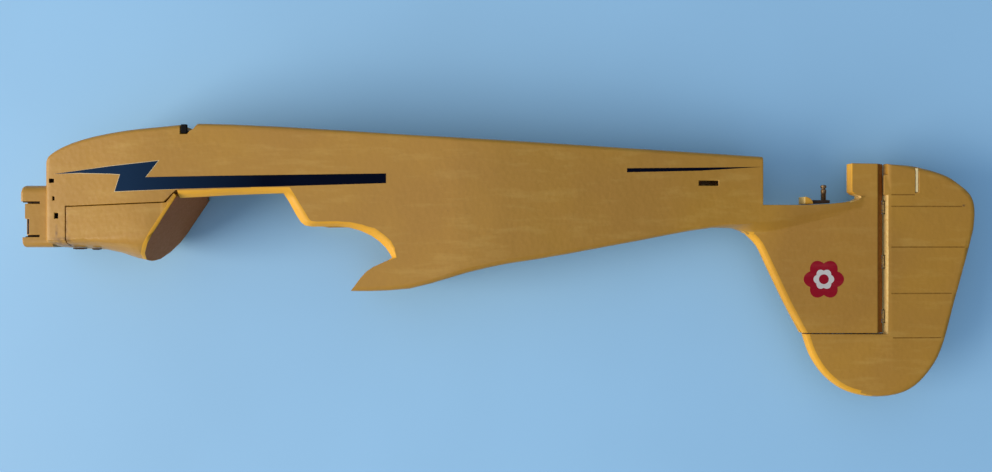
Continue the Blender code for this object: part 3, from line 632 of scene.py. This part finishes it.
def turned(profile, start, direction, sides=28):
    """A closed shape, spun from a profile of (radius, height) points in millimetres round an axis."""
    bm = bmesh.new()
    verts = [bm.verts.new((r * MM, 0, h * MM)) for r, h in profile]
    edges = [bm.edges.new(pair) for pair in zip(verts, verts[1:])]
    bmesh.ops.spin(bm, geom=[*verts, *edges], cent=(0, 0, 0), axis=(0, 0, 1), angle=2 * math.pi, steps=sides,
                   use_merge=True)
    bmesh.ops.remove_doubles(bm, verts=bm.verts, dist=WELD)
    turn = Vector(direction).to_track_quat("Z", "Y").to_matrix().to_4x4()
    bmesh.ops.transform(bm, matrix=Matrix.Translation(start) @ turn, verts=bm.verts)
    bmesh.ops.recalc_face_normals(bm, faces=bm.faces)
    return bm


def grown(outline, by):
    """The outline moved outwards by a distance in millimetres, with its long corners kept short."""
    area = sum(a[0] * b[1] - b[0] * a[1] for a, b in zip(outline, outline[1:] + outline[:1]))
    turn = 1 if area > 0 else -1
    moved = []
    for i, point in enumerate(outline):
        before, here, after = Vector(outline[i - 1]), Vector(point), Vector(outline[(i + 1) % len(outline)])
        first, second = (here - before).normalized(), (after - here).normalized()
        normals = [Vector((v.y, -v.x)) * turn for v in (first, second)]
        corner = normals[0] + normals[1]
        moved.append(tuple(here + corner * by * 2 / max(corner.length_squared, 2 / CORNER_LIMIT)))
    return moved


def film(name, outline, side, lift, finish, stations=()):
    """Film of one outline laid on the starboard (1) or port (-1) side of the fuselage."""
    surface = merged_node("fuselage_starboard_half" if side > 0 else "fuselage_port_half")
    tree = BVHTree.FromBMesh(surface)
    surface.free()
    bm = bmesh.new()
    bm.faces.new([bm.verts.new(place(x, y)) for x, y in outline])
    for x in stations:
        bmesh.ops.bisect_plane(bm, geom=[*bm.verts, *bm.edges, *bm.faces], plane_co=place(x, 0),
                               plane_no=(1, 0, 0))
    for vert in bm.verts:
        start = Vector((vert.co.x, vert.co.y, HINGE.z + side * CLEAR_OF_SIDES))
        hit = tree.ray_cast(start, Vector((0, 0, -side)))[0]
        if hit is None:
            raise RuntimeError(f"{name} hangs over the edge at {tuple(vert.co)}")
        vert.co.z = hit.z + side * lift
    for face in bm.faces:
        face.normal_update()
        if face.normal.z * side < 0:
            face.normal_flip()
    made = bmesh.ops.extrude_face_region(bm, geom=list(bm.faces))
    raised = [v for v in made["geom"] if isinstance(v, bmesh.types.BMVert)]
    bmesh.ops.translate(bm, verts=raised, vec=(0, 0, side * detail_settings().film))
    bmesh.ops.recalc_face_normals(bm, faces=bm.faces)
    return finish_mesh(bm, name, "fuselage", finish)


# Operators


class AIRFRAME_OT_shell(bpy.types.Operator):
    """Dress both moulded halves of the fuselage."""
    bl_idname = "airframe.shell"
    bl_label = "Fuselage halves"

    def execute(self, context):
        for side, slot in zip(("starboard", "port"), PUSHROD_SLOTS):
            shell = dress(f"fuselage_{side}_half", f"shell_{side}", "fuselage", "painted_foam")
            # Painted shade on the walls and floors of the slots and pockets, which lie in shade
            refinish(shell, "pocket_shade_foam",
                     lambda at, normal: inside_any(at, (*SHADED_POCKETS, slot)) and abs(normal.z) < WALL)
            refinish(shell, "pocket_shade_foam", lambda at, normal: inside_any(at, SHADED_POCKETS) and abs(at.z) < POCKET_Z)
            # Painted shade on the faces behind the stern post that look aft, away from the light
            refinish(shell, "shaded_foam", lambda at, normal: over(at, POST_REAR) and normal.x > AFT)
            # Painted highlight on the cabin rim, the fin's leading edge and the stern post's front, which
            # face the light
            refinish(shell, "highlight_foam", self.on_highlit_edge)
            # Painted highlight on the hook at the stern post's foot, which faces the light
            refinish(shell, "highlight_pale_foam", lambda at, normal: over(at, POST_HOOK) and abs(normal.z) < WALL)
        return {"FINISHED"}

    def on_highlit_edge(self, at, normal):
        """Whether a face is on the cabin rim, the fin's leading edge or the front of the stern post, which
        take a painted highlight.
        """
        rim = over(at, CABIN_RIM) and abs(at.z) > RIM_INNER and abs(normal.z) > RIM_TILT
        fin = over(at, FIN_EDGE) and normal.x < -FORWARD
        post = over(at, POST_FRONT)
        return (rim or fin or post) and abs(normal.z) < FLAT_OF_SIDE


class AIRFRAME_OT_hatch(bpy.types.Operator):
    """Dress the nose hatch and its four finger grips."""
    bl_idname = "airframe.hatch"
    bl_label = "Nose hatch"

    def execute(self, context):
        bm = merged_node("nose_hatch")
        ease_edges(bm, detail_settings().ease)
        self.chamfer_rim(bm, detail_settings().screen_rim)
        deck = finish_mesh(bm, "hatch_deck", "nose_hatch", "painted_foam")
        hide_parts("nose_hatch")
        # The raked rear face takes a browner, redder foam colour than the paint
        refinish(deck, "rake_brown_foam", lambda at, normal: normal.dot(SCREEN_RAKE) > ON_RAKE)
        # Painted highlight on the chamfer round the raked face
        refinish(deck, "highlight_foam", self.on_rim)
        for row in ("front", "rear"):
            for side in ("starboard", "port"):
                self.grip(f"hatch_grip_{row}_{side}")
        return {"FINISHED"}

    def chamfer_rim(self, bm, width):
        """Slopes a band of the hatch's skin in towards the outline of the raked rear face."""
        foot = place(*SCREEN_FOOT)
        bmesh.ops.bisect_plane(bm, geom=[*bm.verts, *bm.edges, *bm.faces],
                               plane_co=foot - SCREEN_RAKE * width, plane_no=SCREEN_RAKE)
        bm.normal_update()
        moves = []
        for vert in bm.verts:
            behind = (vert.co - foot).dot(SCREEN_RAKE)
            if behind > -width / 2 and vert.co.y < foot.y - RIM_STOP:
                outward = vert.normal - SCREEN_RAKE * vert.normal.dot(SCREEN_RAKE)
                outward.normalize()
                moves.append((vert, outward * -width * RIM_SLOPE * abs(outward.z)))
        for vert, move in moves:
            vert.co += move

    def on_rim(self, at, normal):
        """Whether a face belongs to the chamfer along the raked face's outline."""
        behind = (at - Vector(SCREEN_FOOT)).dot(SCREEN_RAKE)
        inside = -detail_settings().screen_rim / MM < behind < 0.2 and at.y < SCREEN_FOOT[1]
        return inside and normal.dot(SCREEN_RAKE) < ON_RAKE

    def grip(self, node):
        """A ribbed pad: a box whose outer face has ridges across it."""
        low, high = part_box(node)
        bm = bmesh.new()
        bmesh.ops.create_cube(bm, size=1.0)
        bmesh.ops.scale(bm, vec=high - low, verts=bm.verts)
        bmesh.ops.translate(bm, vec=(low + high) / 2, verts=bm.verts)
        step = (high.x - low.x) / (GRIP_RIDGES * 2)
        for k in range(1, GRIP_RIDGES * 2):
            bmesh.ops.bisect_plane(bm, geom=[*bm.verts, *bm.edges, *bm.faces],
                                   plane_co=(low.x + k * step, 0, 0), plane_no=(1, 0, 0))
        for vert in bm.verts:
            k = round((vert.co.x - low.x) / step)
            if vert.co.y < low.y + TOUCH and k % 2 == 0:
                vert.co.y += GRIP_GROOVE
        spans = [(edge, edge.verts[1].co - edge.verts[0].co) for edge in bm.edges]
        ends = [edge for edge, span in spans if abs(span.z) < TOUCH and abs(span.x) > TOUCH]
        bmesh.ops.bevel(bm, geom=ends, offset=GRIP_EASE, segments=2, profile=0.5, material=-1,
                        affect="EDGES")
        obj = finish_mesh(bm, node + "_ribbed", "nose_hatch", "grained_brown")
        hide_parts(node)


class AIRFRAME_OT_rudder(bpy.types.Operator):
    """Dress the rudder, with its moulded rib lines and the sleeve in its foot."""
    bl_idname = "airframe.rudder"
    bl_label = "Rudder"

    def execute(self, context):
        detail = detail_settings()
        bm = merged_node("rudder")
        ease_edges(bm, detail.ease)
        grooves(bm, RIBS, detail.rib_width / 2, detail.rib_depth)
        blade = finish_mesh(bm, "rudder_blade", "rudder", "painted_foam", smooth_angle=60)
        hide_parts("rudder")
        # Painted highlight on the horn's leading edge, which faces the light
        refinish(blade, "highlight_foam", lambda at, normal: over(at, HORN_EDGE) and normal.x < -HORN_FORWARD)
        # Painted shade on the walls of the moulded grooves
        refinish(blade, "groove_shade_foam", self.in_rib_line)
        # Bare, unpainted foam along the rudder's front, with a painted highlight where it faces the light
        refinish(blade, "highlight_pale_foam", lambda at, normal: over(at, RUDDER_FRONT) and normal.x < -FRONT_FORWARD)
        # Painted highlight on the walls of the hinge pockets, in place of the shade in them
        refinish(blade, "highlight_pale_foam",
                 lambda at, normal: over(at, RUDDER_CORE) and abs(at.z) < CORE_HALF_WIDTH)
        dress("tiller_sleeve", "tiller_liner", "rudder", "cream_nylon", FITTING_EASE)
        return {"FINISHED"}

    def in_rib_line(self, at, normal):
        """Whether a face is a wall of one of the moulded grooves."""
        reach = detail_settings().rib_width / 2 / MM + 0.05
        near = any(abs(at.y - y) < reach and first <= at.x <= last for y, first, last in RIBS)
        return near and abs(normal.y) > 0.2


class AIRFRAME_OT_hinges(bpy.types.Operator):
    """Dress the three pinned hinges."""
    bl_idname = "airframe.hinges"
    bl_label = "Hinges"

    def execute(self, context):
        for number in (1, 2, 3):
            for kind, name, body in (("fixed", "leaf", "fuselage"), ("moving", "fork", "rudder")):
                dress(f"hinge_{number}_{kind}", f"hinge_{name}_{number}", body, "tan_nylon",
                      FINE_EASE)
        return {"FINISHED"}


class AIRFRAME_OT_stripes(bpy.types.Operator):
    """Lay the navy flash and the tail stripe on both sides."""
    bl_idname = "airframe.stripes"
    bl_label = "Stripes"

    def execute(self, context):
        edge = detail_settings().edge_width / MM
        over_sill = [(x, max(y, PORT_SILL + SILL_MARGIN) if x > SILL_START else y) for x, y in FLASH]
        for side, name, flash in ((1, "starboard", FLASH), (-1, "port", over_sill)):
            backing = grown([point for point in flash if point[0] < PALE_EDGE_END], edge)
            for part, outline, lift, finish in (("flash_edge", backing, BACKING_LIFT, "pale_film"),
                                                ("flash", flash, FILM_LIFT, "navy_film"),
                                                ("tail_stripe", TAIL_STRIPE, TAIL_STRIPE_LIFT, "navy_film")):
                film(f"{part}_{name}", outline, side, lift, finish, SIDE_STATIONS)
        return {"FINISHED"}


class AIRFRAME_OT_rosette(bpy.types.Operator):
    """Lay a plain red and white rosette on each side of the fin."""
    bl_idname = "airframe.rosette"
    bl_label = "Rosette"

    def execute(self, context):
        for side, name in ((1, "starboard"), (-1, "port")):
            for part, finish, radius, wave, lift in ROSETTE_RINGS:
                film(f"rosette_{part}_{name}", self.ring(radius, wave), side, lift, finish)
        return {"FINISHED"}

    def ring(self, radius, wave):
        """A circle round the rosette's centre, drawn in between the petals by a share of its radius."""
        petals = detail_settings().petals
        steps = petals * STEPS_PER_PETAL
        outline = []
        for k in range(steps):
            angle = 2 * math.pi * k / steps
            reach = radius * (1 - wave + wave * abs(math.cos(petals * angle / 2)))
            outline.append((ROSETTE_AT[0] + reach * math.cos(angle), ROSETTE_AT[1] + reach * math.sin(angle)))
        return outline


class AIRFRAME_OT_fittings(bpy.types.Operator):
    """Dress the gear block and the fittings in the tailplane notch."""
    bl_idname = "airframe.fittings"
    bl_label = "Fittings"

    def execute(self, context):
        dress("gear_block", "gear_bar", "fuselage", "grained_black", BLOCK_EASE)
        # The lug takes a painted highlight all over, and a paler one on its front
        lug = dress("tail_lug", "tail_lug_foam", "fuselage", "highlight_foam")
        # Paler painted highlight on the lug's front
        refinish(lug, "highlight_pale_foam", lambda at, normal: normal.x < -FORWARD or at.x < LUG_FRONT)
        dress("stud_base", "stud_foot", "fuselage", "grained_brown", FITTING_EASE)
        self.stud()
        return {"FINISHED"}

    def stud(self):
        """The turned tail stud: a threaded shank, a waist and a collar."""
        low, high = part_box("tail_stud")
        collar, length = (high.x - low.x) / 2 / MM, (high.y - low.y) / MM
        shank, root, waist = collar - STUD_SHANK, collar - STUD_ROOT, collar - STUD_WAIST
        profile = [(0.0, 0.0), (collar - STUD_BEVEL, 0.0), (shank, 0.4)]
        for k in range(THREAD_TURNS):
            at = THREAD_START + k * THREAD_PITCH
            profile += [(shank, at), (root, at + THREAD_PITCH / 2)]
        profile += [(shank, THREAD_START + THREAD_TURNS * THREAD_PITCH), (shank, length - 3.4),
                    (waist, length - 3.0), (waist, length - 2.4), (collar, length - 2.0),
                    (collar, length - STUD_BEVEL), (collar - STUD_BEVEL, length), (0.0, length)]
        middle = (low + high) / 2
        bm = turned(profile, Vector((middle.x, low.y, middle.z)), (0, 1, 0))
        obj = finish_mesh(bm, "tail_stud_turned", "fuselage", "dull_steel")
        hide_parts("tail_stud")


class AIRFRAME_OT_inside(bpy.types.Operator):
    """Dress the firewall, former, servo tray and guide tubes."""
    bl_idname = "airframe.inside"
    bl_label = "Inside"

    def execute(self, context):
        dress("firewall", "firewall_plate", "fuselage", "grained_black", FITTING_EASE)
        dress("hatch_former", "hatch_former_ply", "fuselage", "former_plywood", FITTING_EASE)
        dress("servo_tray", "servo_tray_ply", "fuselage", "tray_plywood", FITTING_EASE)
        for side in ("starboard", "port"):
            dress(f"pushrod_tube_{side}", f"guide_tube_{side}", "fuselage", "cream_nylon", FINE_EASE)
        return {"FINISHED"}


class AIRFRAME_OT_stage(bpy.types.Operator):
    """Set up the floor, the lights and the camera."""
    bl_idname = "airframe.stage"
    bl_label = "Stage"

    def execute(self, context):
        stage = context.scene.airframe_stage
        self.floor(stage)
        self.light("window_light", WINDOW_AT, WINDOW_SIZE, stage.key, WINDOW_COLOUR)
        self.light("ceiling_light", CEILING_AT, CEILING_SIZE, stage.fill, CEILING_COLOUR)
        self.room(context, stage)
        self.camera(context, stage)
        context.scene.view_settings.view_transform = "Standard"
        return {"FINISHED"}

    def camera(self, context, stage):
        """A camera that looks straight down, with the drawing's datum line across the middle of its view."""
        data = bpy.data.cameras.new("camera")
        data.lens = stage.lens
        data.sensor_width = 36.0
        data.sensor_fit = "HORIZONTAL"
        camera = bpy.data.objects.new("camera", data)
        camera.location = (place(VIEW_CENTRE, 0).x, place(0, 0).y, stage.height)
        context.scene.collection.objects.link(camera)
        context.scene.camera = camera

    def room(self, context, stage):
        """A room that is brighter on the window's side, to the nose and the cabin."""
        world = bpy.data.worlds.new("room")
        world.use_nodes = True
        tree = world.node_tree
        background = tree.nodes["Background"]
        towards = add_node(tree, "ShaderNodeVectorMath", operation="DOT_PRODUCT")
        towards.inputs[1].default_value = BRIGHT_SIDE
        tree.links.new(add_node(tree, "ShaderNodeTexCoord").outputs["Generated"], towards.inputs[0])
        side = towards.outputs["Value"]
        tint = ramp(tree, ranged(tree, side, -0.9, 1.0), (0.0, ROOM_DIM), (1.0, ROOM_BRIGHT))
        tree.links.new(tint, background.inputs["Color"])
        strength = ranged(tree, side, -0.5, 1.0, stage.sky * 0.08, stage.sky * 1.55)
        tree.links.new(strength, background.inputs["Strength"])
        context.scene.world = world

    def floor(self, stage):
        """A pale sheet with faint clouds, right under the part."""
        bm = bmesh.new()
        bmesh.ops.create_grid(bm, x_segments=1, y_segments=1, size=FLOOR_REACH)
        bmesh.ops.translate(bm, vec=(0, 0, -FLOOR_DROP), verts=bm.verts)
        mesh = bpy.data.meshes.new("floor")
        bm.to_mesh(mesh)
        bm.free()
        made, tree, shader = new_material("floor_sheet")
        clouds = noise(tree, object_place(tree), scale=3)
        dim = [c * 0.93 for c in stage.floor[:3]] + [1]
        shade = mixed(tree, ranged(tree, clouds, 0.35, 0.65), dim, stage.floor)
        tree.links.new(shade, shader.inputs["Base Color"])
        shader.inputs["Roughness"].default_value = 0.6
        mesh.materials.append(made)
        obj = bpy.data.objects.new("floor", mesh)
        bpy.context.scene.collection.objects.link(obj)

    def light(self, name, location, size, power, colour):
        """A square soft light that faces the part."""
        data = bpy.data.lights.new(name, "AREA")
        data.shape = "SQUARE"
        data.size = size
        data.energy = power
        data.color = colour
        obj = bpy.data.objects.new(name, data)
        obj.location = location
        obj.rotation_euler = (Vector(LIGHTS_AIM) - Vector(location)).to_track_quat("-Z", "Y").to_euler()
        bpy.context.scene.collection.objects.link(obj)


class AIRFRAME_PT_panel(bpy.types.Panel):
    """Lists the pieces of the fuselage and their settings."""
    bl_label = "Fuselage"
    bl_idname = "AIRFRAME_PT_panel"
    bl_space_type = "VIEW_3D"
    bl_region_type = "UI"
    bl_category = "Fuselage"

    def draw(self, context):
        for operator in OPERATORS:
            self.layout.operator(operator.bl_idname)
        for name, _ in GROUPS:
            group = getattr(context.scene, name)
            box = self.layout.box()
            for key in group.bl_rna.properties.keys():
                if key not in {"rna_type", "name"}:
                    box.prop(group, key)


OPERATORS = (AIRFRAME_OT_stage, AIRFRAME_OT_shell, AIRFRAME_OT_hatch, AIRFRAME_OT_rudder, AIRFRAME_OT_hinges,
             AIRFRAME_OT_stripes, AIRFRAME_OT_rosette, AIRFRAME_OT_fittings, AIRFRAME_OT_inside)
GROUPS = (("airframe_finish", AirframeFinish), ("airframe_detail", AirframeDetail),
          ("airframe_stage", AirframeStage))


def register():
    for name, group in GROUPS:
        bpy.utils.register_class(group)
        setattr(bpy.types.Scene, name, PointerProperty(type=group))
    for operator in OPERATORS:
        bpy.utils.register_class(operator)
    bpy.utils.register_class(AIRFRAME_PT_panel)


def unregister():
    bpy.utils.unregister_class(AIRFRAME_PT_panel)
    for operator in reversed(OPERATORS):
        bpy.utils.unregister_class(operator)
    for name, group in reversed(GROUPS):
        delattr(bpy.types.Scene, name)
        bpy.utils.unregister_class(group)


def main():
    register()
    bpy.ops.airframe.stage()
    bpy.ops.airframe.shell()
    bpy.ops.airframe.hatch()
    bpy.ops.airframe.rudder()
    bpy.ops.airframe.hinges()
    bpy.ops.airframe.stripes()
    bpy.ops.airframe.rosette()
    bpy.ops.airframe.fittings()
    bpy.ops.airframe.inside()


if __name__ == "__main__":
    main()
